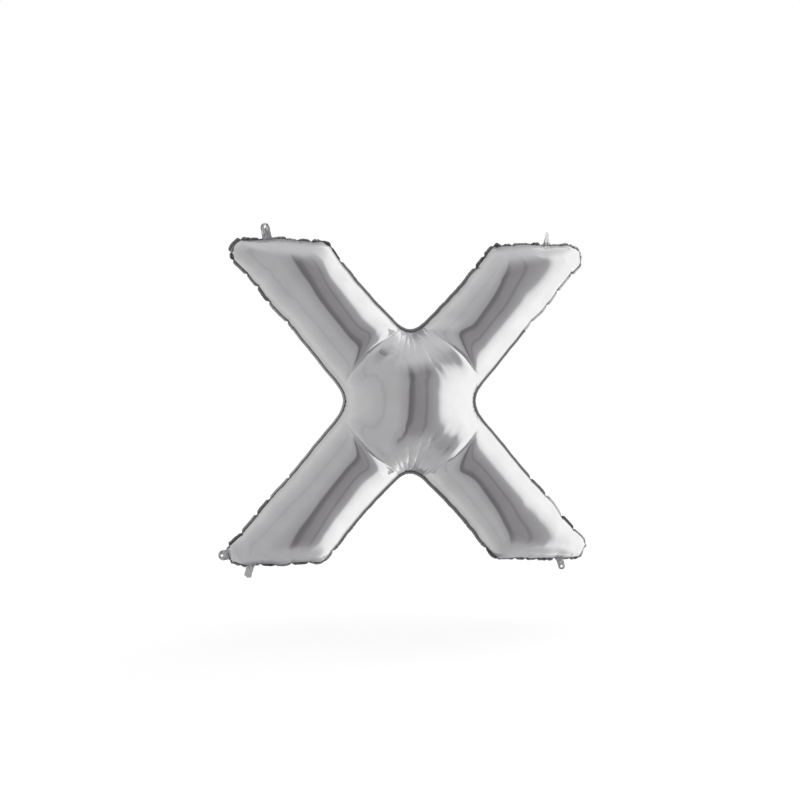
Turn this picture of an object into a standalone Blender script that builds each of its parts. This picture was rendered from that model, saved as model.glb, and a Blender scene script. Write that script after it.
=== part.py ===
# Letter foil balloon: an inflated letter X made of two plies of metallised film, welded
# together round the edge, with four punched hanging tabs and a filling tail.
# Metres, +Z up, front face towards -Y, origin in the middle of the balloon.
import bmesh
import bpy
import math
import numpy as np

# Driving dimensions
SHELL = 0.010            # wall of each inflated panel, drawn thicker than the film
BORDER = 0.007           # width of the welded edge outside the inflated panels
BORDER_THICK = 0.001     # both plies and their weld, drawn thicker than the film
GAP = 0.0003             # clearance between touching pieces
ARM_REACH = 0.112        # from an arm's middle line to its rim
ARM_DEPTH = 0.0968       # half of an arm's thickness, front to back
ARM_ROUNDNESS = 0.50     # 0.5 is an elliptical section
MIDDLE_REACH = 0.184     # from the middle of the balloon to its notches
MIDDLE_DEPTH = 0.1472    # half of the balloon's thickness in the middle
MIDDLE_ROUNDNESS = 0.65  # the film runs flatter into the notches
MIDDLE_FADE = (0.03, 0.25)  # distance from the middle over which the pillow becomes an arm
ARC_STEP = 0.010         # spacing of the points along a rounded corner
ALONG_ARM = 12           # rows of faces from the middle to an arm's end
ACROSS_ARM = 10          # rows of faces across an arm
TAB_WIDTH = 0.020
TAB_FLARE = 0.005        # a tab's root is this much wider on each side
HOLE_RADIUS = 0.0034
HOLE_SIDES = 16
HOLE_TO_TIP = 0.0095
FILM_THICK = 0.0004
PLY_THICK = 0.0005
TAIL_WIDTH = 0.0175
FILM_WIDTH = 0.0120
FILM_PROUD = 0.003       # how far the valve film shows past the tail's mouth

# Corners of the welded edge of the right half, from the top notch to the bottom notch:
# x, z, radius of the rounded corner. The lower arms reach a little further than the upper.
CORNERS = (
    (0.0000, 0.1772, 0.0360),
    (0.2233, 0.4334, 0.0930),
    (0.3489, 0.4402, 0.4100),
    (0.5139, 0.4171, 0.0368),
    (0.1682, 0.0000, 0.0586),
    (0.5223, -0.4174, 0.0395),
    (0.3489, -0.4416, 0.4100),
    (0.2246, -0.4353, 0.0930),
    (0.0000, -0.1772, 0.0360),
)
SHOULDERS = (1, 7)
TIPS = (3, 5)

# Hanging tabs: name, x and z of the root, direction in degrees from +X, length
TABS = (
    ("hanging_tab_top_left", -0.387, 0.437, 100.0, 0.041),
    ("hanging_tab_top_right", 0.385, 0.437, 90.0, 0.034),
    ("hanging_tab_bottom_left", -0.480, -0.401, 198.0, 0.037),
    ("hanging_tab_bottom_right", 0.419, -0.432, 286.0, 0.036),
)
TAIL = (-0.433, -0.430, 262.5, 0.038)

# Colours, roughness and metallic value of the materials
MATERIALS = {
    "silver_film": ((0.78, 0.78, 0.79, 1.0), 0.12, 1.0),
    "welded_edge": ((0.55, 0.55, 0.56, 1.0), 0.30, 1.0),
    "clear_film": ((0.85, 0.86, 0.88, 1.0), 0.25, 0.0),
}


def clear_scene():
    for item in list(bpy.data.objects):
        bpy.data.objects.remove(item, do_unlink=True)


def make_material(name):
    colour, roughness, metallic = MATERIALS[name]
    material = bpy.data.materials.new(name)
    material.use_nodes = True
    shader = material.node_tree.nodes["Principled BSDF"]
    shader.inputs["Base Color"].default_value = colour
    shader.inputs["Roughness"].default_value = roughness
    shader.inputs["Metallic"].default_value = metallic
    return material


def moved_corners(offset):
    """Corners of the right half with every side moved outwards by the offset."""
    corners = [np.array(row[:2]) for row in CORNERS]
    before = [np.array((-corners[1][0], corners[1][1]))] + corners[:-1]
    after = corners[1:] + [np.array((-corners[-2][0], corners[-2][1]))]
    moved = []
    for start, corner, end, row in zip(before, corners, after, CORNERS):
        arriving = (corner - start) / np.linalg.norm(corner - start)
        leaving = (end - corner) / np.linalg.norm(end - corner)
        # The outline runs clockwise, so its outer side is on the left.
        turn = arriving[0] * leaving[1] - arriving[1] * leaving[0]
        normals = [np.array((-way[1], way[0])) for way in (arriving, leaving)]
        bisector = normals[0] + normals[1]
        bisector *= offset / (1 + normals[0] @ normals[1])
        radius = row[2] - offset * math.copysign(1, turn)
        moved.append((corner + bisector, arriving, leaving, radius))
    return moved


def right_outline(offset):
    """Points of the right half's outline, and the place of each corner's middle in them."""
    points = []
    middles = []
    for corner, arriving, leaving, radius in moved_corners(offset):
        turn = math.atan2(arriving[0] * leaving[1] - arriving[1] * leaving[0],
                          arriving @ leaving)
        reach = radius * math.tan(abs(turn) / 2)
        side = math.copysign(1, turn)
        centre = corner - arriving * reach
        centre = centre + side * radius * np.array((-arriving[1], arriving[0]))
        half = max(2, math.ceil(abs(turn) * radius / ARC_STEP / 2))
        spoke = corner - arriving * reach - centre
        for step in range(2 * half + 1):
            angle = turn * step / (2 * half)
            c, s = math.cos(angle), math.sin(angle)
            points.append(centre + np.array((c * spoke[0] - s * spoke[1],
                                             s * spoke[0] + c * spoke[1])))
        middles.append(len(points) - 1 - half)
    return np.array(points[middles[0]:middles[-1] + 1]), [m - middles[0] for m in middles]


def whole_outline(offset):
    """The closed outline, clockwise from the top notch."""
    right, _ = right_outline(offset)
    left = right[::-1][1:-1] * np.array((-1, 1))
    return np.vstack([right, left])


def along(points, fractions):
    """Points at the given fractions of a line's length."""
    steps = np.linalg.norm(np.diff(points, axis=0), axis=1)
    length = np.concatenate([[0], np.cumsum(steps)])
    at = np.asarray(fractions) * length[-1]
    return np.stack([np.interp(at, length, points[:, k]) for k in (0, 1)], axis=-1)


def distance_to(points, outline):
    """Each point's distance to a closed outline."""
    start = outline
    step = np.roll(outline, -1, axis=0) - start
    offset = points[:, None, :] - start[None]
    share = np.clip((offset * step).sum(-1) / (step * step).sum(-1), 0, 1)
    return np.linalg.norm(offset - share[..., None] * step, axis=-1).min(axis=1)


def swell(points, outline, inset):
    """Depth of the inflated film: round arms that run into a deeper middle."""
    near, far = MIDDLE_FADE
    fade = np.clip((far - np.linalg.norm(points, axis=1)) / (far - near), 0, 1)
    fade = fade * fade * (3 - 2 * fade)
    reach = ARM_REACH + (MIDDLE_REACH - ARM_REACH) * fade - inset
    depth = ARM_DEPTH + (MIDDLE_DEPTH - ARM_DEPTH) * fade - inset
    roundness = ARM_ROUNDNESS + (MIDDLE_ROUNDNESS - ARM_ROUNDNESS) * fade
    share = np.clip(distance_to(points, outline) / reach, 0, 1)
    return depth * (1 - (1 - share) ** 2) ** roundness


def quarter_grid(top, inset):
    """Rows of plan points of one arm, from the middle of the balloon to the arm's end."""
    points, middles = right_outline(-BORDER - inset)
    if top:
        notch, shoulder, tip, side = (middles[k] for k in (0, SHOULDERS[0], TIPS[0], 4))
        inner = points[notch:shoulder + 1]
        end = points[shoulder:tip + 1]
        outer = points[tip:side + 1][::-1]
    else:
        side, tip, shoulder, notch = (middles[k] for k in (4, TIPS[1], SHOULDERS[1], 8))
        inner = points[shoulder:notch + 1][::-1]
        end = points[tip:shoulder + 1][::-1]
        outer = points[side:tip + 1]
    rows = np.sin(np.linspace(0, math.pi / 2, ALONG_ARM + 1))[:, None, None]
    columns = (1 - np.cos(np.linspace(0, math.pi, ACROSS_ARM + 1)))[None, :, None] / 2
    # An arm starts on the two lines from the middle of the balloon to its notches.
    base = inner[0] * np.clip(1 - 2 * columns, 0, 1) + outer[0] * np.clip(2 * columns - 1, 0, 1)
    ends = (1 - rows) * base + rows * along(end, columns[0, :, 0])[None]
    sides = (1 - columns) * along(inner, rows[:, 0, 0])[:, None]
    sides = sides + columns * along(outer, rows[:, 0, 0])[:, None]
    corners = (1 - rows) * ((1 - columns) * inner[0] + columns * outer[0])
    corners = corners + rows * ((1 - columns) * inner[-1] + columns * outer[-1])
    return ends + sides - corners


def inflated_panel(name, material, way):
    """One ply of film: an outer and an inner swollen sheet, joined by a flat rim.

    The way is -1 for the front panel and 1 for the back panel.
    """
    mesh = bmesh.new()
    rim = way * (BORDER_THICK / 2 + GAP)
    for top in (True, False):
        sheets = []
        for inset in (0, SHELL):
            plan = quarter_grid(top, inset)
            flat = plan.reshape(-1, 2)
            depth = swell(flat, whole_outline(-BORDER - inset), inset)
            sheets.append((plan, depth.reshape(plan.shape[:2])))
        for mirrored in (1, -1):
            layers = []
            for plan, depth in sheets:
                layers.append([[mesh.verts.new((mirrored * plan[i, j, 0],
                                                rim + way * depth[i, j],
                                                plan[i, j, 1]))
                                for j in range(ACROSS_ARM + 1)]
                               for i in range(ALONG_ARM + 1)])
            for layer in layers:
                for i in range(ALONG_ARM):
                    for j in range(ACROSS_ARM):
                        mesh.faces.new((layer[i][j], layer[i + 1][j],
                                        layer[i + 1][j + 1], layer[i][j + 1]))
            edges = [[layer[i][0] for i in range(ALONG_ARM + 1)]
                     + layer[ALONG_ARM][1:]
                     + [layer[i][ACROSS_ARM] for i in range(ALONG_ARM - 1, -1, -1)]
                     for layer in layers]
            for k in range(len(edges[0]) - 1):
                mesh.faces.new((edges[0][k], edges[0][k + 1],
                                edges[1][k + 1], edges[1][k]))
    bmesh.ops.remove_doubles(mesh, verts=mesh.verts, dist=0.0001)
    bmesh.ops.recalc_face_normals(mesh, faces=mesh.faces)
    data = bpy.data.meshes.new(name)
    mesh.to_mesh(data)
    mesh.free()
    data.shade_smooth()
    data.set_sharp_from_angle(angle=math.radians(50))
    return add_object(name, data, material)


def add_object(name, data, material):
    item = bpy.data.objects.new(name, data)
    data.materials.append(material)
    balloon.objects.link(item)
    return item


def flat_piece(name, material, outlines, thickness, y=0.0):
    """A flat piece in the plane of the weld, from closed outlines of x and z points."""
    curve = bpy.data.curves.new(name, "CURVE")
    curve.dimensions = "2D"
    curve.fill_mode = "BOTH"
    curve.extrude = thickness / 2
    for outline in outlines:
        spline = curve.splines.new("POLY")
        spline.points.add(len(outline) - 1)
        for point, (x, z) in zip(spline.points, outline):
            point.co = (x, z, 0, 1)
        spline.use_cyclic_u = True
    flat = bpy.data.objects.new(name + "_outline", curve)
    balloon.objects.link(flat)
    bpy.context.view_layer.update()
    graph = bpy.context.evaluated_depsgraph_get()
    data = bpy.data.meshes.new_from_object(flat.evaluated_get(graph))
    data.name = name
    bpy.data.objects.remove(flat)
    bpy.data.curves.remove(curve)
    mesh = bmesh.new()
    mesh.from_mesh(data)
    bmesh.ops.remove_doubles(mesh, verts=mesh.verts, dist=0.00001)
    bmesh.ops.recalc_face_normals(mesh, faces=mesh.faces)
    mesh.to_mesh(data)
    mesh.free()
    data.materials.clear()
    item = add_object(name, data, material)
    item.location.y = y
    item.rotation_euler.x = math.pi / 2
    return item


def arc(centre, radius, start, end, count):
    angles = np.linspace(start, end, count)
    return [(centre[0] + radius * math.cos(a), centre[1] + radius * math.sin(a))
            for a in angles]


def tongue(root, heading, reach, width, flare, rounded):
    """Outline of a tongue that grows out of the welded edge, and its direction and tip."""
    edge = whole_outline(GAP)
    closed = np.vstack([edge, edge[:1]])
    steps = np.linalg.norm(np.diff(closed, axis=0), axis=1)
    length = np.concatenate([[0], np.cumsum(steps)])
    fractions = np.linspace(0, 1, 4001)
    dense = along(closed, fractions)
    nearest = int(np.argmin(np.linalg.norm(dense - np.array(root), axis=1)))
    place = dense[nearest]
    # The root follows the edge: its two ends and every corner of the outline between them.
    ends = fractions[nearest] * length[-1] + np.array((-1, 1)) * (width / 2 + flare)
    between = closed[(length > ends[0]) & (length < ends[1])]
    first, last = along(closed, ends / length[-1])
    base = [first, *between, last]
    angle = math.radians(heading)
    forward = np.array((math.cos(angle), math.sin(angle)))
    left = np.array((-forward[1], forward[0]))
    tip = place + forward * reach
    if rounded:
        centre = tip - forward * width / 2
        end = arc(centre, width / 2, angle + math.pi / 2, angle - math.pi / 2, 13)
    else:
        end = [tip + left * width / 2, tip - left * width / 2]
    waist = place + forward * (flare + 0.003)
    sides = [waist + left * width / 2], [waist - left * width / 2]
    outline = base + sides[1] + list(end)[::-1] + sides[0]
    return outline, forward, tip


clear_scene()
balloon = bpy.data.collections.new("letter_foil_balloon")
bpy.context.scene.collection.children.link(balloon)
silver = make_material("silver_film")
welded = make_material("welded_edge")
clear = make_material("clear_film")

inflated_panel("front_foil_panel", silver, -1)
inflated_panel("back_foil_panel", silver, 1)
inside_edge = whole_outline(-BORDER - SHELL)[::-1]
flat_piece("seam_border", welded, (whole_outline(0), inside_edge), BORDER_THICK)

for name, x, z, heading, length in TABS:
    outline, forward, tip = tongue((x, z), heading, length, TAB_WIDTH, TAB_FLARE, True)
    centre = tip - forward * HOLE_TO_TIP
    hole = arc(centre, HOLE_RADIUS, 0, 2 * math.pi, HOLE_SIDES + 1)[:-1]
    flat_piece(name, welded, (outline, hole), BORDER_THICK)

x, z, heading, length = TAIL
for name, way in (("valve_tail_front_ply", -1), ("valve_tail_back_ply", 1)):
    outline, forward, tip = tongue((x, z), heading, length, TAIL_WIDTH, TAB_FLARE, False)
    flat_piece(name, welded, (outline,), PLY_THICK,
               way * (FILM_THICK / 2 + GAP + PLY_THICK / 2))
outline, forward, tip = tongue((x, z), heading, length + FILM_PROUD, FILM_WIDTH, 0, False)
flat_piece("valve_film", clear, (outline,), FILM_THICK)
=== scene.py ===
import math

import bmesh
import bpy
import numpy as np
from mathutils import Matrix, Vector, noise
from mathutils.geometry import delaunay_2d_cdt


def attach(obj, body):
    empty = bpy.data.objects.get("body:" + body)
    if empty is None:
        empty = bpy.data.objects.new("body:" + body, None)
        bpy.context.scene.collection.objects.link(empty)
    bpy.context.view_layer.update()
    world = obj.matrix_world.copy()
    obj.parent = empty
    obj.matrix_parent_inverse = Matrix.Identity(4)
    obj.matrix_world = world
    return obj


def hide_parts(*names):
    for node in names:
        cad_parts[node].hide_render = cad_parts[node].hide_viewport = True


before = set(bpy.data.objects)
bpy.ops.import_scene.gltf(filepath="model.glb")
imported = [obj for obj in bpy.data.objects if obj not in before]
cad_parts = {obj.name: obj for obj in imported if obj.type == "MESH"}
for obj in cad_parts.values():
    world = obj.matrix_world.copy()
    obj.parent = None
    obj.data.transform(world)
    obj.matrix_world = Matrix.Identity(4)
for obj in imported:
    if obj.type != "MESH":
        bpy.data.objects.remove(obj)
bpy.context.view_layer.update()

BODY = "root"

# The view
# The balloon hangs level with the lens, 3.1 m away. The lens stands 8.5 degrees
# to the left of straight on. The shift only places it where the photograph has it.
CAMERA_AZIMUTH = math.radians(-8.5)
CAMERA_DISTANCE = 3.1
CAMERA_LENS = 51.17
CAMERA_SHIFT = (-0.0125, 0.0019)

toward_camera = Vector((math.sin(CAMERA_AZIMUTH), -math.cos(CAMERA_AZIMUTH), 0.0))
camera_data = bpy.data.cameras.new("studio_camera")
camera_data.lens = CAMERA_LENS
camera_data.sensor_width = 36.0
camera_data.shift_x, camera_data.shift_y = CAMERA_SHIFT
camera = bpy.data.objects.new("studio_camera", camera_data)
camera.location = toward_camera * CAMERA_DISTANCE
camera.rotation_euler = (-toward_camera).to_track_quat("-Z", "Y").to_euler()
bpy.context.scene.collection.objects.link(camera)
bpy.context.scene.camera = camera

# The flat pattern of the two plies
# Both plies are cut and heat-welded flat, as one wide letter X. The rows are the
# corners of the welded line's quarter, from the top notch to the side notch:
# x, z and the radius that rounds the corner, in metres.
PATTERN = (
    (0.0000, 0.2453, 0.0400),
    (0.2520, 0.5075, 0.0800),
    (0.4000, 0.5095, 0.3000),
    (0.5835, 0.4700, 0.0520),
    (0.4580, 0.2700, 0.4000),
    (0.2240, 0.0000, 0.0850),
)
QUARTERS = {
    "top_right": (1, 1), "top_left": (-1, 1), "bottom_right": (1, -1), "bottom_left": (-1, -1),
}
MESH_STEP = 0.0115
ARC_POINTS = 24


def spaced(points, step):
    """The same line with its points about a step apart."""
    points = np.asarray(points, float)
    reach = np.r_[0, np.cumsum(np.linalg.norm(np.diff(points, axis=0), axis=1))]
    count = max(1, int(round(reach[-1] / step)))
    at = np.linspace(0, reach[-1], count + 1)
    return np.stack([np.interp(at, reach, points[:, k]) for k in range(points.shape[1])], 1)


def rounded_quarter(corners):
    """The welded line from the middle of the top notch to the middle of the side notch."""
    spots = [np.array(row[:2]) for row in corners]
    before = [spots[1] * (-1, 1)] + spots[:-1]
    after = spots[1:] + [spots[-2] * (1, -1)]
    line = []
    middles = []
    for last, spot, following, row in zip(before, spots, after, corners):
        way_in = (spot - last) / np.linalg.norm(spot - last)
        way_out = (following - spot) / np.linalg.norm(following - spot)
        turn = math.atan2(way_in[0] * way_out[1] - way_in[1] * way_out[0], way_in @ way_out)
        start = spot - way_in * row[2] * math.tan(abs(turn) / 2)
        hub = start + math.copysign(row[2], turn) * np.array((-way_in[1], way_in[0]))
        for k in range(2 * ARC_POINTS + 1):
            angle = turn * k / (2 * ARC_POINTS)
            c, s = math.cos(angle), math.sin(angle)
            line.append(hub + np.array(((c, -s), (s, c))) @ (start - hub))
        middles.append(len(line) - 1 - ARC_POINTS)
    return np.array(line)[middles[0]:middles[-1] + 1]


quarter_line = spaced(rounded_quarter(PATTERN), MESH_STEP)
seam_flat = np.vstack([
    quarter_line[:-1],
    quarter_line[:0:-1] * (1, -1),
    quarter_line[:-1] * (-1, -1),
    quarter_line[:0:-1] * (-1, 1),
])

# The gathers
# A filled letter never has smooth plies. Its film is drawn in along lines: an arc
# from notch to notch across the root of each arm, a fan at every notch, and short
# puckers along the weld round the ends of the arms. The arcs and puckers are shorter
# than the film beside them by their factor, so the air pressure folds them in, and
# every gather is pressed in by its depth once the film is filled.
FOLD_RADIUS = 0.2175  # from the middle of the letter to an arc, halfway along it
FOLD_SWEEP = math.radians(38)  # how far an arc turns on each side of the arm's own line
FOLD_TOP_RISE, FOLD_SIDE_RISE = 0.066, 0.042  # how much further out its ends lie at the notches
FOLD_BEND = 4.5  # a higher power keeps more of the arc round and turns its ends out later
FOLD_POINTS = 61
ROOT_FOLD_FACTOR = 0.935
ROOT_FOLD_DEPTH = 0.0012
FAN_LINES = {  # x or z on the notch's edge, then x and z of the inner end
    "top": (
        (-0.027, -0.066, 0.140), (-0.017, -0.054, 0.110), (-0.006, -0.020, 0.128),
        (0.005, 0.003, 0.086), (0.016, 0.046, 0.104), (0.027, 0.066, 0.148),
    ),
    "bottom": (
        (-0.027, -0.070, -0.150), (-0.017, -0.050, -0.160), (-0.006, -0.024, -0.101),
        (0.005, 0.017, -0.101), (0.016, 0.047, -0.097), (0.027, 0.078, -0.157),
    ),
    "left": (
        (0.028, -0.150, 0.060), (0.017, -0.108, 0.047), (0.005, -0.090, 0.014),
        (-0.008, -0.100, -0.023), (-0.024, -0.150, -0.050),
    ),
    "right": (
        (0.027, 0.120, 0.034), (0.016, 0.100, 0.012), (0.003, 0.095, -0.006),
        (-0.009, 0.098, -0.022), (-0.024, 0.130, -0.044),
    ),
}
FAN_DEPTH = 0.0009
PUCKER_SPAN = (0.29, 0.92)  # along the weld from the top or bottom notch: an arm's end and outer side
PUCKER_START_SPREAD = 0.035
PUCKER_GAP = (0.032, 0.058)  # shortest and longest, round an arm's end
LONG_GAP_FROM, LONG_GAP_AT = 0.66, 0.92  # past the arm's outer corner they grow to twice as long
PUCKER_SEED = 11
PUCKER_REACH = (0.022, 0.044)
PUCKER_FACTOR = 0.94
PUCKER_DEPTH = 0.0006


def pucker_places(draw):
    """Distances of one arm's puckers along the weld: close round its end, wider down its side."""
    places = [PUCKER_SPAN[0] + draw.uniform(-1, 1) * PUCKER_START_SPREAD]
    while places[-1] < PUCKER_SPAN[1]:
        longer = 1 + np.interp(places[-1], (LONG_GAP_FROM, LONG_GAP_AT), (0, 1))
        places.append(places[-1] + draw.uniform(*PUCKER_GAP) * longer)
    return places


PUCKERS = {
    name: pucker_places(np.random.default_rng(PUCKER_SEED + number))
    for number, name in enumerate(QUARTERS)
}


def root_fold():
    """The arc across the root of the top right arm, from the top notch to the side notch."""
    points = []
    for turn in np.linspace(1, -1, FOLD_POINTS):
        rise = FOLD_TOP_RISE if turn > 0 else FOLD_SIDE_RISE
        radius = FOLD_RADIUS + rise * abs(turn) ** FOLD_BEND
        angle = math.pi / 4 + turn * FOLD_SWEEP
        points.append((radius * math.cos(angle), radius * math.sin(angle)))
    return np.array(points)


def nearest(points, spot):
    return int(np.argmin(((points - spot) ** 2).sum(1)))


def edge_spot(notch, along):
    """A point on the weld in a notch, by its x in the top or bottom one and its z in a side one."""
    upright = notch in ("top", "bottom")
    side = 1 if notch in ("top", "right") else -1
    here = seam_flat[seam_flat[:, 1 if upright else 0] * side > 0]
    near = np.abs(here[:, 0 if upright else 1] - along)
    reach = np.abs(here[:, 1 if upright else 0])
    return here[np.argmin(near + 0.2 * reach)]


def gather_lines(draw, side):
    """Every gather of one ply as (points, factor, depth), starting on the weld."""
    lines = []
    for sign_x, sign_z in QUARTERS.values():
        fold = root_fold() * (sign_x, sign_z)
        lines.append((fold, ROOT_FOLD_FACTOR, ROOT_FOLD_DEPTH))
    for notch, rows in FAN_LINES.items():
        for along, x, z in rows:
            end = np.array((x, z)) * (side, 1)
            if side < 0:
                end += draw.uniform(-0.006, 0.006, 2)
            start = edge_spot({"left": "right", "right": "left"}.get(notch, notch) if side < 0 else notch,
                              along * (side if notch in ("top", "bottom") else 1))
            lines.append((np.array((start, end)), 1.0, FAN_DEPTH))
    line = rounded_quarter(PATTERN)
    reach = np.r_[0, np.cumsum(np.linalg.norm(np.diff(line, axis=0), axis=1))]
    for name, places in PUCKERS.items():
        for place in places:
            spot = np.array([np.interp(place, reach, line[:, k]) for k in range(2)])
            ahead = np.array([np.interp(place + 0.004, reach, line[:, k]) for k in range(2)])
            way = (ahead - spot) / np.linalg.norm(ahead - spot)
            inward = np.array((way[1], -way[0]))
            lean = draw.uniform(-0.25, 0.25)
            end = spot + (inward + way * lean) * draw.uniform(*PUCKER_REACH)
            factor = PUCKER_FACTOR + draw.uniform(0, 0.03)
            lines.append((np.array((spot, end)) * QUARTERS[name], factor, PUCKER_DEPTH))
    return lines


# Laying out the mesh of a ply
# The film is meshed flat with even triangles. Every gather is a chain of mesh
# edges, so that the fold runs straight along it when the ply fills.
CLEAR_OF_LINES = 0.6


def inside(points, loop):
    x, z = points[:, 0], points[:, 1]
    result = np.zeros(len(points), bool)
    for (x0, z0), (x1, z1) in zip(np.roll(loop, 1, 0), loop):
        if z0 != z1:
            crosses = (z0 > z) != (z1 > z)
            result ^= crosses & (x < (x1 - x0) * (z - z0) / (z1 - z0) + x0)
    return result


def far_from(points, others, gap):
    keep = np.ones(len(points), bool)
    for part in np.array_split(np.arange(len(points)), 24):
        apart = np.linalg.norm(points[part][:, None] - others[None], axis=2)
        keep[part] = apart.min(1) > gap
    return keep


def triangle_grid(low, high, step):
    row = step * math.sqrt(3) / 2
    spots = []
    for j in range(int((high[1] - low[1]) / row) + 1):
        start = low[0] + (j % 2) * step / 2
        for x in np.arange(start, high[0], step):
            spots.append((x, low[1] + j * row))
    return np.array(spots)


def mesh_edges(faces):
    pairs = np.sort(np.concatenate([faces[:, [0, 1]], faces[:, [1, 2]], faces[:, [2, 0]]]), axis=1)
    return np.unique(pairs, axis=0)


def edge_keys(pairs, count):
    return pairs[:, 0].astype(np.int64) * count + pairs[:, 1]


def mesh_flat(loop, lines, step):
    """Triangles over a flat outline: points, faces, and the gather edges with factor and depth."""
    points = [tuple(p) for p in loop]
    edges = [(k, (k + 1) % len(loop)) for k in range(len(loop))]
    traits = [None] * len(loop)
    for line, factor, depth in lines:
        line = spaced(line, step)
        start = nearest(loop, line[0])
        if np.linalg.norm(loop[start] - line[0]) > step:
            points.append(tuple(line[0]))
            start = len(points) - 1
        chain = [start]
        fixed = np.array(points)
        for spot in line[1:]:
            close = nearest(fixed, spot)
            if np.linalg.norm(fixed[close] - spot) < 0.45 * step:
                if close != chain[-1]:
                    chain.append(close)
                continue
            points.append(tuple(spot))
            chain.append(len(points) - 1)
        for k, (a, b) in enumerate(zip(chain, chain[1:])):
            edges.append((a, b))
            traits.append((factor, depth * min(1, 2.5 * (1 - (k + 0.5) / (len(chain) - 1)))))
    fixed = np.array(points)
    grid = triangle_grid(loop.min(0), loop.max(0), step)
    grid = grid[inside(grid, loop)]
    grid = grid[far_from(grid, fixed, CLEAR_OF_LINES * step)]
    every = np.vstack([fixed, grid])
    found = delaunay_2d_cdt([Vector(p) for p in every], edges, [], 1, 1e-7)
    flat = np.array([tuple(p) for p in found[0]])
    faces = np.array([tuple(f) for f in found[2]])
    place = np.full(len(every), -1)
    for k, originals in enumerate(found[3]):
        for original in originals:
            place[original] = k
    renumber = np.full(len(flat), -1)
    rim = place[:len(loop)]
    renumber[rim] = np.arange(len(rim))
    others = np.setdiff1d(faces, rim)
    renumber[others] = len(rim) + np.arange(len(others))
    flat = flat[np.r_[rim, others]]
    faces = renumber[faces]
    side = np.cross(flat[faces[:, 1]] - flat[faces[:, 0]], flat[faces[:, 2]] - flat[faces[:, 0]])
    faces[side < 0] = faces[side < 0][:, ::-1]
    sides = set(edge_keys(mesh_edges(faces), len(flat)).tolist())
    gathers = []
    for pair, originals in zip(found[1], found[4]):
        a, b = sorted(renumber[list(pair)])
        chosen = [traits[k] for k in originals if traits[k]]
        if chosen and a * len(flat) + b in sides:
            gathers.append((a, b, *min(chosen)))
    return flat, faces, gathers


# Filling
# Air pressure pushes every triangle outwards, and the film, which hardly stretches
# and bends with little force, holds each mesh edge to its flat length or less. The
# plies share the weld. Three meshes are filled in turn, each twice as fine and eased.
FILL_STEPS = (900, 180, 40)
FILL_PUSH = (0.0006, 0.0004, 0.00025)
FILL_KEEP = 0.99
FILL_STIFFNESS = (0.0030, 0.0040, 0.0015)
EASE_ROUNDS = (16, 40, 14)
EASE_IN, EASE_OUT = 0.50, -0.52
START_SLOPE = 0.3
START_HEIGHT = 0.05


def separate_groups(edges, count):
    """Groups of edges that share no point, so that a whole group can be corrected at once."""
    used = [0] * count
    group = np.empty(len(edges), int)
    for k, (a, b) in enumerate(edges.tolist()):
        taken = used[a] | used[b]
        c = 0
        while taken >> c & 1:
            c += 1
        used[a] |= 1 << c
        used[b] |= 1 << c
        group[k] = c
    return [np.nonzero(group == c)[0] for c in range(group.max() + 1)]


def scatter(faces, vectors, count):
    total = np.empty((count, 3))
    for k in range(3):
        total[:, k] = sum(np.bincount(faces[:, c], vectors[:, k], count) for c in range(3))
    return total


def sag(space, edges, degree):
    """The sum of the ways from each point to its neighbours."""
    total = np.empty_like(space)
    for k in range(3):
        total[:, k] = np.bincount(edges[:, 0], space[edges[:, 1], k], len(space))
        total[:, k] += np.bincount(edges[:, 1], space[edges[:, 0], k], len(space))
    return total - degree * space


def fill(faces, edges, lengths, space, free, steps, push, stiffness):
    """The film after some steps of pressure, resistance to bending and limits on stretch."""
    count = len(space)
    groups = [(edges[g, 0], edges[g, 1], lengths[g]) for g in separate_groups(edges, count)]
    size = lengths.mean()
    scale = push * size / (size * size * math.sqrt(3) / 2 * 6)
    degree = np.bincount(edges.ravel(), minlength=count)[:, None]
    before = space.copy()
    for _ in range(steps):
        a, b, c = (space[faces[:, k]] for k in range(3))
        force = scatter(faces, np.cross(b - a, c - a), count)
        moved = space + (space - before) * FILL_KEEP + force * scale
        before = space
        space = moved - stiffness * sag(free * sag(moved, edges, degree), edges, degree)
        for first, second, rest in groups:
            gap = space[second] - space[first]
            length = np.sqrt((gap * gap).sum(1))
            excess = np.maximum((length - rest) / np.maximum(length, 1e-9) / 2, 0)
            gap *= excess[:, None]
            space[first] += gap
            space[second] -= gap
        space[:, 1] -= space[:SEAM_COUNT, 1].mean()
    return space


def halved(faces, edges, gathers, values):
    """Each triangle in four. Values are arrays with a row for each point."""
    count = len(values[0])
    keys = edge_keys(edges, count)

    def middle(a, b):
        pair = np.sort(np.stack([a, b], 1), axis=1)
        return count + np.searchsorted(keys, edge_keys(pair, count))

    a, b, c = faces.T
    ab, bc, ca = middle(a, b), middle(b, c), middle(c, a)
    finer = np.concatenate([
        np.stack([a, ab, ca], 1), np.stack([b, bc, ab], 1),
        np.stack([c, ca, bc], 1), np.stack([ab, bc, ca], 1),
    ])
    first = np.array([g[0] for g in gathers])
    second = np.array([g[1] for g in gathers])
    half = middle(first, second)
    split = [(a, m, *g[2:]) for a, m, g in zip(first, half, gathers)]
    split += [(m, b, *g[2:]) for m, b, g in zip(half, second, gathers)]
    values = [np.vstack([v, (v[edges[:, 0]] + v[edges[:, 1]]) / 2]) for v in values]
    return finer, split, values


def rest_lengths(edges, flat, gathers):
    lengths = np.linalg.norm(flat[edges[:, 0]] - flat[edges[:, 1]], axis=1)
    pairs = np.sort(np.array([g[:2] for g in gathers]), axis=1)
    at = np.searchsorted(edge_keys(edges, len(flat)), edge_keys(pairs, len(flat)))
    lengths[at] *= np.array([g[2] for g in gathers])
    return lengths


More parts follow.
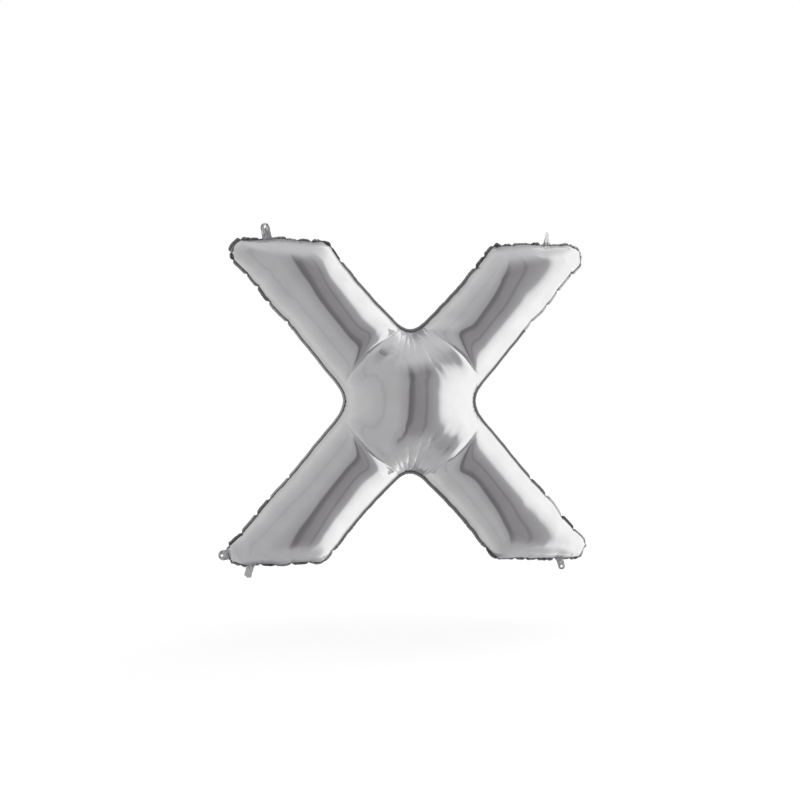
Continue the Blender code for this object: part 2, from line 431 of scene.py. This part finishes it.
def eased(space, edges, free, rounds):
    """The film with its small waves taken out and no loss of size."""
    degree = np.bincount(edges.ravel(), minlength=len(space))[:, None]
    for share in (EASE_IN, EASE_OUT) * rounds:
        space = space + share * free * sag(space, edges, degree) / degree
    return space


draw = np.random.default_rng(7)
SEAM_COUNT = len(seam_flat)
front_lines = gather_lines(draw, 1)
back_lines = gather_lines(draw, -1)
front = mesh_flat(seam_flat, front_lines, MESH_STEP)
back = mesh_flat(seam_flat, back_lines, MESH_STEP)
own = len(back[0]) - SEAM_COUNT
shift = np.r_[np.arange(SEAM_COUNT), len(front[0]) + np.arange(own)]
flat = np.vstack([front[0], back[0][SEAM_COUNT:]])
faces = np.vstack([front[1], shift[back[1]][:, ::-1]])
gathers = front[2] + [(shift[a], shift[b], *rest) for a, b, *rest in back[2]]
is_front = np.r_[np.ones(len(front[1]), bool), np.zeros(len(back[1]), bool)]

rim_gap = np.full(len(flat), 1.0)
for part in np.array_split(np.arange(len(flat)), 24):
    rim_gap[part] = np.linalg.norm(flat[part][:, None] - seam_flat[None], axis=2).min(1)
height = START_SLOPE * np.minimum(rim_gap, START_HEIGHT)
height[:len(front[0])] *= -1
height[:SEAM_COUNT] = 0
space = np.c_[flat[:, 0], height, flat[:, 1]]

seam = np.arange(SEAM_COUNT)
levels = 3
for level in range(levels):
    edges = mesh_edges(faces)
    lengths = rest_lengths(edges, flat, gathers)
    free = np.ones((len(space), 1))
    free[seam] = 0
    free[[g[0] for g in gathers if g[2] < 1] + [g[1] for g in gathers if g[2] < 1]] = 0
    settings = (FILL_STEPS[level], FILL_PUSH[level], FILL_STIFFNESS[level])
    space = fill(faces, edges, lengths, space, free, *settings)
    space = eased(space, edges, free, EASE_ROUNDS[level])
    if level < levels - 1:
        keys = edge_keys(edges, len(flat))
        pair = np.sort(np.stack([seam, np.roll(seam, -1)], 1), axis=1)
        between = len(flat) + np.searchsorted(keys, edge_keys(pair, len(flat)))
        seam = np.stack([seam, between], 1).ravel()
        faces, gathers, (flat, space) = halved(faces, edges, gathers, (flat, space))
        is_front = np.tile(is_front, 4)

# Each gather ends as a sharp crease, pressed in by its depth.
a, b, c = (space[faces[:, k]] for k in range(3))
normal = scatter(faces, np.cross(b - a, c - a), len(space))
normal /= np.linalg.norm(normal, axis=1)[:, None]
crease = np.zeros(len(space))
for first, second, _, depth in gathers:
    crease[[first, second]] = np.maximum(crease[[first, second]], depth)
crease[seam] = 0
space -= normal * crease[:, None]

# The lower arms spread a little wider than the upper ones.
SPREAD = 0.0055
half_width, half_height = np.abs(space[:, 0]).max(), np.abs(space[:, 2]).max()
space[:, 0] -= SPREAD * space[:, 0] * space[:, 2] / (half_width * half_height)


def film_piece(name, chosen):
    """One ply as an object, from its own triangles of the filled film."""
    used = np.unique(chosen)
    renumber = np.full(len(space), -1)
    renumber[used] = np.arange(len(used))
    mesh = bpy.data.meshes.new(name)
    mesh.from_pydata(space[used].tolist(), [], renumber[chosen].tolist())
    mesh.shade_smooth()
    piece = bpy.data.objects.new(name, mesh)
    bpy.context.scene.collection.objects.link(piece)
    return piece


front_film = film_piece("front_film", faces[is_front])
back_film = film_piece("back_film", faces[~is_front])


def linear(code):
    """A colour with its sRGB hex code turned to linear."""
    parts = [int(code[k:k + 2], 16) / 255 for k in (1, 3, 5)]
    return tuple(c / 12.92 if c < 0.04045 else ((c + 0.055) / 1.055) ** 2.4 for c in parts) + (1.0,)


def add(tree, kind, links=(), **settings):
    """Adds a shader node. Settings name its properties or its inputs, and links feed its inputs."""
    node = tree.nodes.new(kind)
    for name, value in settings.items():
        if hasattr(node, name):
            setattr(node, name, value)
        else:
            node.inputs[name.replace("_", " ").title()].default_value = value
    for name, source in dict(links).items():
        tree.links.new(source, node.inputs[name])
    return node


# Metallised film
# Polyester film with a vapour-deposited aluminium mirror. It is nearly a clean mirror,
# dulled by a fine haze and by the faint crinkles left from folding and packing.
MM = 0.001
foil = bpy.data.materials.new("metallised_polyester_film")
foil.use_nodes = True
tree = foil.node_tree
shader = tree.nodes["Principled BSDF"]
shader.inputs["Metallic"].default_value = 1.0
place = add(tree, "ShaderNodeTexCoord").outputs["Object"]
crinkle = add(tree, "ShaderNodeTexNoise", {"Vector": place}, Scale=1 / (14 * MM), Detail=3.0)
haze = add(tree, "ShaderNodeTexNoise", {"Vector": place}, Scale=1 / (60 * MM), Detail=4.0)
gloss = add(tree, "ShaderNodeMapRange", {"Value": haze.outputs["Fac"]})
gloss.inputs["To Min"].default_value = 0.04
gloss.inputs["To Max"].default_value = 0.08
tree.links.new(gloss.outputs["Result"], shader.inputs["Roughness"])
tint = add(tree, "ShaderNodeValToRGB", {"Fac": haze.outputs["Fac"]})
tint.color_ramp.elements[0].position = 0.3
tint.color_ramp.elements[0].color = linear("#eeedee")
tint.color_ramp.elements[1].position = 0.7
tint.color_ramp.elements[1].color = linear("#f6f6f7")
tree.links.new(tint.outputs["Color"], shader.inputs["Base Color"])
bump = add(tree, "ShaderNodeBump", {"Height": crinkle.outputs["Fac"]}, Strength=0.4, Distance=0.012 * MM)
tree.links.new(bump.outputs["Normal"], shader.inputs["Normal"])

for piece in (front_film, back_film):
    piece.data.materials.append(foil)
    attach(piece, BODY)
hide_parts("front_foil_panel")
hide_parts("back_foil_panel")

# The welded edge
# Outside the weld both plies run on as one margin, cut 7 mm wide. The weld is drawn in
# at each pucker and the margin isn't, so it stands in short scallops between them. On
# the outer left side and round the top right corner it leans over as one long strip.
EDGE_WIDTH = 7 * MM
EDGE_ROWS = 4
EDGE_THICKNESS = 0.3 * MM
PINCH_REACH = 4.5 * MM
PINCH_DEPTH = 0.68
SCALLOP_TILT = 48
LONG_SCALLOP = 0.055
CROWDED_SCALLOPS = (0.045, 0.078)
OUTER_DRAPE = 27
WELD_FADE = 0.45
PUCKER_COUNT = sum(len(places) for places in PUCKERS.values())
TABS = {  # x, z on the weld, heading and reach as in the CAD, then width and twist in degrees
    "top_left": (-0.387, 0.437, 100, 0.041, 0.025, -12),
    "top_right": (0.385, 0.437, 90, 0.034, 0.020, -47),
    "bottom_left": (-0.480, -0.401, 198, 0.037, 0.027, -8),
    "bottom_right": (0.419, -0.432, 286, 0.036, 0.019, -3),
}
TAIL = (-0.433, -0.430, 262.5, 0.038, 0.0205, -30)


def nearest_on_rim(x, z):
    return int(np.argmin((rim[:, 0] - x) ** 2 + (rim[:, 2] - z) ** 2))


rim = space[seam]
RIM_COUNT = len(rim)
steps = np.linalg.norm(np.roll(rim, -1, 0) - rim, axis=1)
reach = np.r_[0, np.cumsum(steps)]
around_rim = reach[-1]
smooth_rim = rim.copy()
for _ in range(30):
    smooth_rim = (np.roll(smooth_rim, 1, 0) + 2 * smooth_rim + np.roll(smooth_rim, -1, 0)) / 4
tangent = np.roll(smooth_rim, -1, 0) - np.roll(smooth_rim, 1, 0)
tangent[:, 1] = 0
tangent /= np.linalg.norm(tangent, axis=1)[:, None]
outward = np.stack([-tangent[:, 2], np.zeros(RIM_COUNT), tangent[:, 0]], 1)
if (outward * rim).sum() < 0:
    outward = -outward

fine = 2 ** (levels - 1)
pinches = sorted({nearest(seam_flat, line[0]) * fine for line, *rest in front_lines[-PUCKER_COUNT:]})
marks = reach[pinches]
before = np.searchsorted(marks, reach[:-1], side="right") - 1
start = np.where(before < 0, marks[-1] - around_rim, marks[before])
stop = np.where(before + 1 < len(marks), marks[(before + 1) % len(marks)], marks[0] + around_rim)
to_pinch = np.minimum(reach[:-1] - start, stop - reach[:-1])
tilts = draw.uniform(0.35, 1, len(marks) + 1) * draw.choice((-1, 1), len(marks) + 1)
open_share = 1 - np.exp(-(to_pinch / PINCH_REACH) ** 2)
tilt = np.radians(SCALLOP_TILT) * tilts[before] * np.minimum(1, LONG_SCALLOP / (stop - start)) * open_share
width = EDGE_WIDTH * (1 - PINCH_DEPTH * (1 - open_share))
crowded = np.interp(stop - start, CROWDED_SCALLOPS, (1, 0))
outer_left = np.clip(-2 * outward[:, 0], 0, 1) * (rim[:, 0] < -0.1) * (1 - crowded)
top_right = np.clip(2.5 * outward[:, 0], 0, 1) * (rim[:, 0] > 0.25) * (rim[:, 2] > 0.2)
draped = np.maximum(outer_left, top_right)
tilt = tilt * (1 - draped) + math.radians(OUTER_DRAPE) * draped * open_share
crowded = crowded * draw.uniform(0.55, 1.0, len(marks) + 1)[before] * (1 - top_right)
for x, z, _, _, breadth, _ in (*TABS.values(), TAIL):
    apart = np.linalg.norm(rim[:, (0, 2)] - (x, z), axis=1)
    covered = np.exp(-(apart / (0.55 * breadth)) ** 4)
    width *= 1 - 0.8 * covered
    tilt *= 1 - covered

edge_mesh = bmesh.new()
station = edge_mesh.verts.layers.int.new("station")
# This attribute darkens the margin's base colour: the weld's own darker tone, plus painted shade at the
# weld, in crowded scallops and at the pinches.
weld_tone_and_painted_shade = edge_mesh.verts.layers.float.new("weld_tone_and_painted_shade")
corners = [edge_mesh.verts.new(p) for p in rim]
for k, corner in enumerate(corners):
    corner[station] = k
    corner[weld_tone_and_painted_shade] = 1.0
ring = [edge_mesh.edges.new(pair) for pair in zip(corners, corners[1:] + corners[:1])]
for row in range(1, EDGE_ROWS + 1):
    grown = bmesh.ops.extrude_edge_only(edge_mesh, edges=ring)["geom"]
    added = {g for g in grown if isinstance(g, bmesh.types.BMVert)}
    ring = [g for g in grown if isinstance(g, bmesh.types.BMEdge) and set(g.verts) <= added]
    out = row / EDGE_ROWS
    for corner in added:
        k = corner[station]
        lean = tilt[k] * (0.5 + 0.5 * out)
        way = Vector(outward[k]) * math.cos(lean) + Vector((0, math.sin(lean), 0))
        ripple = noise.noise(Vector(rim[k]) * 60) * 0.9 * MM * out
        corner.co = Vector(rim[k]) + way * float(width[k] * out) + Vector((0, ripple, 0))
        # Painted shade: darkest at the weld and fading outward, held darker in crowded scallops and near
        # the pinches.
        corner[weld_tone_and_painted_shade] = float(max(WELD_FADE ** (2 * row), 0.75 * crowded[k]) * (1 - 0.25 * open_share[k]))
bmesh.ops.recalc_face_normals(edge_mesh, faces=edge_mesh.faces)


def made(name, mesh_maker, thickness=0.0):
    """An object from a bmesh, smooth shaded, with a wall if a thickness is given."""
    mesh = bpy.data.meshes.new(name)
    mesh_maker.to_mesh(mesh)
    mesh_maker.free()
    mesh.shade_smooth()
    piece = bpy.data.objects.new(name, mesh)
    bpy.context.scene.collection.objects.link(piece)
    if thickness:
        wall = piece.modifiers.new("film", "SOLIDIFY")
        wall.thickness = thickness
        wall.offset = 0.0
    return piece


welded_edge = made("welded_edge", edge_mesh, EDGE_THICKNESS)
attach(welded_edge, BODY)
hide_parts("seam_border")

# Heat-sealed film
# The two films melted together under a hot bar. The mirror is crazed, with a satin gloss,
# and it is brightest at the cut edge. Its base colour darkens inward to the weld: partly
# the weld's own darker tone, and partly painted shade of the crease there. It is darkened
# also in crowded scallops and at the pinches, as painted shade of the hollows between the
# margin and the film.
sealed = bpy.data.materials.new("heat_sealed_polyester_film")
sealed.use_nodes = True
tree = sealed.node_tree
shader = tree.nodes["Principled BSDF"]
shader.inputs["Metallic"].default_value = 1.0
place = add(tree, "ShaderNodeTexCoord").outputs["Object"]
# Reads the weld tone and painted shade that darken the margin's base colour.
weld = add(tree, "ShaderNodeAttribute", attribute_name="weld_tone_and_painted_shade")
crazing = add(tree, "ShaderNodeTexNoise", {"Vector": place}, Scale=1 / (5 * MM), Detail=5.0)
shade = add(tree, "ShaderNodeMath", operation="MULTIPLY_ADD")
tree.links.new(crazing.outputs["Fac"], shade.inputs[0])
shade.inputs[1].default_value = 0.35
tree.links.new(weld.outputs["Fac"], shade.inputs[2])
tone = add(tree, "ShaderNodeValToRGB", {"Fac": shade.outputs[0]})
tone.color_ramp.elements[0].position = 0.15
tone.color_ramp.elements[0].color = linear("#d2d2d3")
tone.color_ramp.elements[1].color = linear("#6c6b6d")
tree.links.new(tone.outputs["Color"], shader.inputs["Base Color"])
gloss = add(tree, "ShaderNodeMapRange", {"Value": crazing.outputs["Fac"]})
gloss.inputs["To Min"].default_value = 0.16
gloss.inputs["To Max"].default_value = 0.32
tree.links.new(gloss.outputs["Result"], shader.inputs["Roughness"])
bump = add(tree, "ShaderNodeBump", {"Height": crazing.outputs["Fac"]}, Strength=0.6, Distance=0.15 * MM)
tree.links.new(bump.outputs["Normal"], shader.inputs["Normal"])
welded_edge.data.materials.append(sealed)

# The hanging tabs
# Four tongues of the double film are left on the margin, each with a punched hole for
# a thread. Handling has crumpled them, and the top right one has turned to the side.
TAB_FLARE = 0.005
TAB_OVERLAP = 0.002
HOLE_RADIUS = 0.0034
HOLE_TO_TIP = 0.0095
TAB_COLUMNS = 72
TAB_ROWS = 18
TAB_THICKNESS = 0.35 * MM
TAB_CRUMPLE = 1.5 * MM
TAB_CREASE_GAP = 7 * MM


def laid(x, z, heading, length, twist, across, along, lift=0.0):
    """A point of a tongue that leaves the weld near x, z: across it, along it and off its face."""
    foot = rim[nearest_on_rim(x, z)]
    angle = math.radians(heading)
    tip = Vector((x + length * math.cos(angle), 0, z + length * math.sin(angle)))
    foot = Vector(foot)
    run = (tip - foot).normalized()
    side = run.cross(Vector((0, 1, 0))).normalized()
    face = side.cross(run)
    share = along / length
    turn = math.radians(twist) * min(1, max(0, share * 1.6))
    across_way = side * math.cos(turn) + face * math.sin(turn)
    face_way = face * math.cos(turn) - side * math.sin(turn)
    return foot + run * (along - TAB_OVERLAP) + across_way * across + face_way * lift


def crumple(across, along, seed, depth):
    """How far crumpled film stands off its plane: sharp creases on soft folds."""
    spot = Vector((across / TAB_CREASE_GAP, along / TAB_CREASE_GAP, seed))
    crease = 1 - 2 * abs(noise.noise(spot))
    fine_crease = 1 - 2 * abs(noise.noise(spot * 2.3 + Vector((0, 0, 9))))
    fade = min(1, max(0, along / 0.006))
    return depth * fade * (crease - 0.6 + 0.35 * (fine_crease - 0.6))


def tongue_outline(breadth, length):
    """Half a round-ended tongue with a flared root, and its mirror image, as one loop."""
    half = breadth / 2
    right = [(half + TAB_FLARE * (1 - k / 6) ** 2, TAB_FLARE * k / 6) for k in range(7)]
    round_end = length - half
    right += [(half * math.cos(a), round_end + half * math.sin(a)) for a in np.linspace(0, math.pi / 2, 16)]
    left = [(-u, v) for u, v in reversed(right[:-1])]
    return np.array(right + left + [right[0]])


tabs = []
for number, (name, (x, z, heading, length, breadth, twist)) in enumerate(TABS.items()):
    foot = rim[nearest_on_rim(x, z)]
    angle = math.radians(heading)
    tip = (x + length * math.cos(angle), z + length * math.sin(angle))
    whole = math.hypot(tip[0] - foot[0], tip[1] - foot[2]) + TAB_OVERLAP
    outline = tongue_outline(breadth, whole)
    loop = spaced(outline, np.linalg.norm(np.diff(outline, axis=0), axis=1).sum() / TAB_COLUMNS)[:-1]
    hole = np.array((0.0, whole - HOLE_TO_TIP))
    rays = loop - hole
    ring_points = hole + HOLE_RADIUS * rays / np.linalg.norm(rays, axis=1)[:, None]
    tab_mesh = bmesh.new()
    station = tab_mesh.verts.layers.int.new("station")
    corners = [tab_mesh.verts.new((0, 0, 0)) for _ in loop]
    for k, corner in enumerate(corners):
        corner[station] = k
    ring = [tab_mesh.edges.new(pair) for pair in zip(corners, corners[1:] + corners[:1])]
    added = set(corners)
    for row in range(TAB_ROWS + 1):
        if row:
            grown = bmesh.ops.extrude_edge_only(tab_mesh, edges=ring)["geom"]
            added = {g for g in grown if isinstance(g, bmesh.types.BMVert)}
            ring = [g for g in grown if isinstance(g, bmesh.types.BMEdge) and set(g.verts) <= added]
        share = (row / TAB_ROWS) ** 1.1
        for corner in added:
            across, along = ring_points[corner[station]] * (1 - share) + loop[corner[station]] * share
            lift = crumple(across, along, 3.7 * number, TAB_CRUMPLE)
            corner.co = laid(x, z, heading, whole, twist, across, along, lift)
    bmesh.ops.recalc_face_normals(tab_mesh, faces=tab_mesh.faces)
    tab = made("tab_" + name, tab_mesh, TAB_THICKNESS)
    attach(tab, BODY)
    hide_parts("hanging_tab_" + name)
    tabs.append(tab)

# The filling tail
# The neck that the balloon is filled through: the two plies run on as an open strip,
# crumpled from the filling tool, with the clear valve film between them.
TAIL_COLUMNS, TAIL_ROWS = 14, 28
TAIL_MOUTH = 1.3 * MM
VALVE_WIDTH, VALVE_PROUD, VALVE_THICKNESS = 0.0120, 0.003, 0.2 * MM
PLY_THICKNESS = 0.25 * MM


def strip(name, breadth, extra, off, seed, thickness):
    """A strip of film along the tail. It stands off the tail's middle by off at the mouth."""
    x, z, heading, length, _, twist = TAIL
    foot = rim[nearest_on_rim(x, z)]
    angle = math.radians(heading)
    tip = (x + length * math.cos(angle), z + length * math.sin(angle))
    whole = math.hypot(tip[0] - foot[0], tip[1] - foot[2]) + TAB_OVERLAP
    strip_mesh = bmesh.new()
    bmesh.ops.create_grid(strip_mesh, x_segments=TAIL_COLUMNS, y_segments=TAIL_ROWS, size=0.5)
    for corner in strip_mesh.verts:
        share = corner.co.y + 0.5
        across = corner.co.x * breadth * (1 + 0.25 * (1 - share) ** 6)
        along = share * (whole + extra)
        if share > 0.999:
            along -= abs(corner.co.x) * 0.0012
        lift = crumple(across, along, seed, 0.9 * MM) + off * (0.25 + 0.75 * share)
        corner.co = laid(x, z, heading, whole, twist, across, along, lift)
    bmesh.ops.recalc_face_normals(strip_mesh, faces=strip_mesh.faces)
    piece = made(name, strip_mesh, thickness)
    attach(piece, BODY)
    return piece


tail_front = strip("tail_front_ply", TAIL[4], 0.0, TAIL_MOUTH, 21.0, PLY_THICKNESS)
tail_back = strip("tail_back_ply", TAIL[4], 0.0, -TAIL_MOUTH, 21.4, PLY_THICKNESS)
valve = strip("valve_inner_film", VALVE_WIDTH, VALVE_PROUD, 0.0, 21.2, VALVE_THICKNESS)
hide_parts("valve_tail_front_ply")
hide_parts("valve_tail_back_ply")
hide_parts("valve_film")

# Crumpled film
# The same metallised polyester, creased by handling. The fine creases scatter its
# mirror to a grey satin with bright specks.
crumpled = bpy.data.materials.new("crumpled_metallised_film")
crumpled.use_nodes = True
tree = crumpled.node_tree
shader = tree.nodes["Principled BSDF"]
shader.inputs["Metallic"].default_value = 1.0
place = add(tree, "ShaderNodeTexCoord").outputs["Object"]
creases = add(tree, "ShaderNodeTexVoronoi", {"Vector": place}, feature="DISTANCE_TO_EDGE",
              Scale=1 / (4 * MM))
grain = add(tree, "ShaderNodeTexNoise", {"Vector": place}, Scale=1 / (3 * MM), Detail=4.0)
tone = add(tree, "ShaderNodeValToRGB", {"Fac": grain.outputs["Fac"]})
tone.color_ramp.elements[0].position = 0.3
tone.color_ramp.elements[0].color = linear("#d2d1d3")
tone.color_ramp.elements[1].position = 0.7
tone.color_ramp.elements[1].color = linear("#f2f2f2")
tree.links.new(tone.outputs["Color"], shader.inputs["Base Color"])
gloss = add(tree, "ShaderNodeMapRange", {"Value": grain.outputs["Fac"]})
gloss.inputs["To Min"].default_value = 0.14
gloss.inputs["To Max"].default_value = 0.30
tree.links.new(gloss.outputs["Result"], shader.inputs["Roughness"])
bump = add(tree, "ShaderNodeBump", {"Height": creases.outputs["Distance"]}, Strength=0.7, Distance=0.4 * MM)
tree.links.new(bump.outputs["Normal"], shader.inputs["Normal"])
for piece in (*tabs, tail_front, tail_back):
    piece.data.materials.append(crumpled)

# Clear valve film
# Soft polyethylene, milky where it is creased, so light comes through it dimmed.
clear = bpy.data.materials.new("clear_polyethylene_film")
clear.use_nodes = True
tree = clear.node_tree
shader = tree.nodes["Principled BSDF"]
shader.inputs["Base Color"].default_value = linear("#e9ecef")
shader.inputs["Transmission Weight"].default_value = 0.75
shader.inputs["IOR"].default_value = 1.5
place = add(tree, "ShaderNodeTexCoord").outputs["Object"]
milk = add(tree, "ShaderNodeTexNoise", {"Vector": place}, Scale=1 / (4 * MM), Detail=3.0)
gloss = add(tree, "ShaderNodeMapRange", {"Value": milk.outputs["Fac"]})
gloss.inputs["To Min"].default_value = 0.15
gloss.inputs["To Max"].default_value = 0.40
tree.links.new(gloss.outputs["Result"], shader.inputs["Roughness"])
bump = add(tree, "ShaderNodeBump", {"Height": milk.outputs["Fac"]}, Strength=0.4, Distance=0.2 * MM)
tree.links.new(bump.outputs["Normal"], shader.inputs["Normal"])
valve.data.materials.append(clear)

# The studio
# A grey reflector on the left, the dark gap that the lens looks through, a white
# softbox on the right, and a white sweep behind. The film mirrors all of it, so it
# is painted on the world by direction. The lens itself sees a plain white backdrop.
AROUND = (  # degrees from the lens, to the right, and the tone there
    (-180, "#a3a2a4"), (-172, "#8b8a8c"), (-158, "#858486"), (-151, "#bcbcbd"), (-120, "#cccccc"),
    (-90, "#bebebf"), (-62, "#b5b5b6"),
    (-50, "#b1b1b2"), (-45, "#a8a8a9"), (-40, "#b0b0b1"), (-20, "#b0b0b1"), (-10, "#a7a7a8"),
    (-1, "#9f9e9f"), (2, "#6c6a6c"), (8, "#737173"), (14, "#8a888a"), (28, "#908d90"),
    (32, "#7e7c7e"), (36, "#949295"), (48, "#9f9ea0"), (54, "#a9a8aa"), (58, "#d2d2d3"),
    (65, "#ededed"), (78, "#f8f8f8"), (95, "#ffffff"), (150, "#ffffff"), (158, "#c8c8c9"), (180, "#a3a2a4"),
)
HEIGHTS = (  # degrees above the lens and how much of the ceiling or floor is mirrored there
    (-90, 1.0), (-66, 0.8), (-52, 0.22), (-40, 0.0), (38, 0.0), (50, 0.25), (66, 0.8), (90, 1.0),
)
CEILING_TONE = "#c6c6c7"
FLOOR_TONE = "#b0afb0"


def ramp(tree, source, stops):
    """A colour ramp whose stops are placed from 0 to 1."""
    node = add(tree, "ShaderNodeValToRGB", {"Fac": source})
    first, last = node.color_ramp.elements
    first.position, first.color = stops[0]
    last.position, last.color = stops[-1]
    for spot, colour in stops[1:-1]:
        node.color_ramp.elements.new(spot).color = colour
    return node


world = bpy.data.worlds.new("studio")
world.use_nodes = True
bpy.context.scene.world = world
tree = world.node_tree
tree.nodes.clear()
direction = add(tree, "ShaderNodeTexCoord").outputs["Generated"]
turned = add(tree, "ShaderNodeVectorRotate", {"Vector": direction}, rotation_type="Z_AXIS",
             Angle=-CAMERA_AZIMUTH)
parts = add(tree, "ShaderNodeSeparateXYZ", {"Vector": turned.outputs["Vector"]})
back_off = add(tree, "ShaderNodeMath", operation="MULTIPLY")
back_off.inputs[1].default_value = -1.0
tree.links.new(parts.outputs["Y"], back_off.inputs[0])
angle = add(tree, "ShaderNodeMath", operation="ARCTAN2")
tree.links.new(parts.outputs["X"], angle.inputs[0])
tree.links.new(back_off.outputs[0], angle.inputs[1])
turn = add(tree, "ShaderNodeMapRange", {"Value": angle.outputs[0]})
turn.inputs["From Min"].default_value = -math.pi
turn.inputs["From Max"].default_value = math.pi
around = ramp(tree, turn.outputs["Result"], [((a + 180) / 360, linear(c)) for a, c in AROUND])
lift = add(tree, "ShaderNodeMapRange", {"Value": parts.outputs["Z"]})
lift.inputs["From Min"].default_value = -1.0
upright = ramp(tree, lift.outputs["Result"], [
    ((math.sin(math.radians(h)) + 1) / 2, (share, share, share, 1)) for h, share in HEIGHTS])
above = ramp(tree, lift.outputs["Result"], [(0.4, linear(FLOOR_TONE)), (0.6, linear(CEILING_TONE))])
room = add(tree, "ShaderNodeMix", data_type="RGBA")
tree.links.new(upright.outputs["Color"], room.inputs["Factor"])
tree.links.new(around.outputs["Color"], room.inputs[6])
tree.links.new(above.outputs["Color"], room.inputs[7])
mirrored = add(tree, "ShaderNodeBackground", {"Color": room.outputs[2]}, Strength=1.0)
backdrop = add(tree, "ShaderNodeBackground", Color=(1, 1, 1, 1), Strength=1.0)
path = add(tree, "ShaderNodeLightPath")
either = add(tree, "ShaderNodeMixShader", {"Fac": path.outputs["Is Camera Ray"]})
tree.links.new(mirrored.outputs[0], either.inputs[1])
tree.links.new(backdrop.outputs[0], either.inputs[2])
add(tree, "ShaderNodeOutputWorld", {"Surface": either.outputs[0]})
bpy.context.scene.view_settings.view_transform = "Standard"

# The floor
# The white sweep runs on under the balloon. Its own faint glow stands for the light
# that a white room gives back, so it stays white up to the soft shadow.
FLOOR_HEIGHT = -0.62
FLOOR_SIZE = 14.0
FLOOR_GLOW = 0.52
floor_mesh = bmesh.new()
bmesh.ops.create_grid(floor_mesh, x_segments=1, y_segments=1, size=FLOOR_SIZE / 2)
bmesh.ops.translate(floor_mesh, verts=floor_mesh.verts, vec=(0, 0, FLOOR_HEIGHT))
floor = made("floor", floor_mesh)
floor.visible_glossy = False
paper = bpy.data.materials.new("white_studio_paper")
paper.use_nodes = True
tree = paper.node_tree
shader = tree.nodes["Principled BSDF"]
shader.inputs["Roughness"].default_value = 0.9
shader.inputs["Emission Color"].default_value = (1, 1, 1, 1)
shader.inputs["Emission Strength"].default_value = FLOOR_GLOW
place = add(tree, "ShaderNodeTexCoord").outputs["Object"]
fibre = add(tree, "ShaderNodeTexNoise", {"Vector": place}, Scale=1 / (30 * MM), Detail=4.0)
tone = add(tree, "ShaderNodeValToRGB", {"Fac": fibre.outputs["Fac"]})
tone.color_ramp.elements[0].color = linear("#f0f0f0")
tone.color_ramp.elements[1].color = linear("#f7f7f7")
tree.links.new(tone.outputs["Color"], shader.inputs["Base Color"])
floor.data.materials.append(paper)
